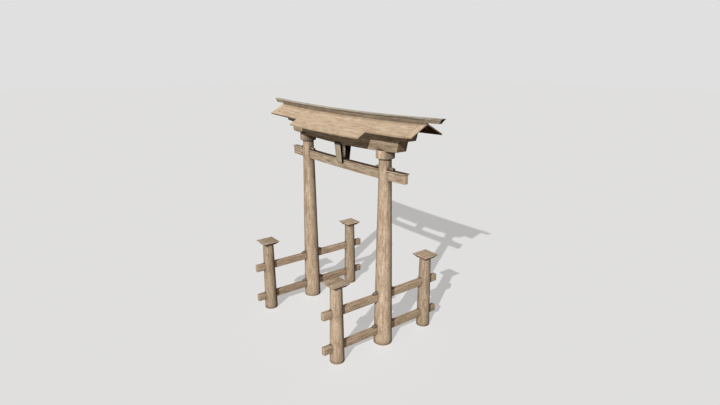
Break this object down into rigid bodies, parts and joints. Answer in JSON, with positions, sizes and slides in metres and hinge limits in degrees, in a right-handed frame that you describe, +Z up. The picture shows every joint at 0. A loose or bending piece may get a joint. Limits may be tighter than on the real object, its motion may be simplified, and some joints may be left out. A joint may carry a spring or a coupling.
{
  "type": "torii gate",
  "caption": "Roofed wooden torii gate: tapered pillars braced by short capped posts and through rails, under a wedged tie beam, upswept lintels and a gabled roof.",
  "frame": {"origin": "on the ground, midway between the two main pillars", "axes": "+X along the lintels to the right seen from the front, -Y the front, +Z up"},
  "size_m": [6.546, 3.438, 5.508],
  "materials": {
    "roof_board": "weathered bare boards",
    "ridge_timber": "weathered bare timber",
    "lintel_timber": "planed bare timber, silvering",
    "wedge_wood": "split bare wood",
    "tablet_board": "planed bare board",
    "cap_board": "weathered bare board",
    "rail_timber": "planed bare timber",
    "tie_timber": "planed bare timber",
    "ring_timber": "turned bare timber",
    "post_timber": "peeled and planed round timber"
  },
  "bodies": {
    "root": {"front_roof_slope": "roof_board", "front_tablet": "tablet_board", "left_front_post": "post_timber", "left_front_post_cap": "cap_board", "left_inner_tie_wedge": "wedge_wood", "left_lower_front_wedge": "wedge_wood", "left_lower_rail": "rail_timber", "left_lower_rear_wedge": "wedge_wood", "left_outer_tie_wedge": "wedge_wood", "left_pillar": "post_timber", "left_pillar_ring": "ring_timber", "left_rear_post": "post_timber", "left_rear_post_cap": "cap_board", "left_upper_front_wedge": "wedge_wood", "left_upper_rail": "rail_timber", "left_upper_rear_wedge": "wedge_wood", "lower_lintel": "lintel_timber", "rear_roof_slope": "roof_board", "rear_tablet": "tablet_board", "ridge_base": "ridge_timber", "ridge_cap": "ridge_timber", "ridge_pole": "ridge_timber", "right_front_post": "post_timber", "right_front_post_cap": "cap_board", "right_inner_tie_wedge": "wedge_wood", "right_lower_front_wedge": "wedge_wood", "right_lower_rail": "rail_timber", "right_lower_rear_wedge": "wedge_wood", "right_outer_tie_wedge": "wedge_wood", "right_pillar": "post_timber", "right_pillar_ring": "ring_timber", "right_rear_post": "post_timber", "right_rear_post_cap": "cap_board", "right_upper_front_wedge": "wedge_wood", "right_upper_rail": "rail_timber", "right_upper_rear_wedge": "wedge_wood", "strut": "tie_timber", "tie_beam": "tie_timber", "tie_beam_cap": "cap_board", "upper_lintel": "lintel_timber"}
  },
  "joints": []
}
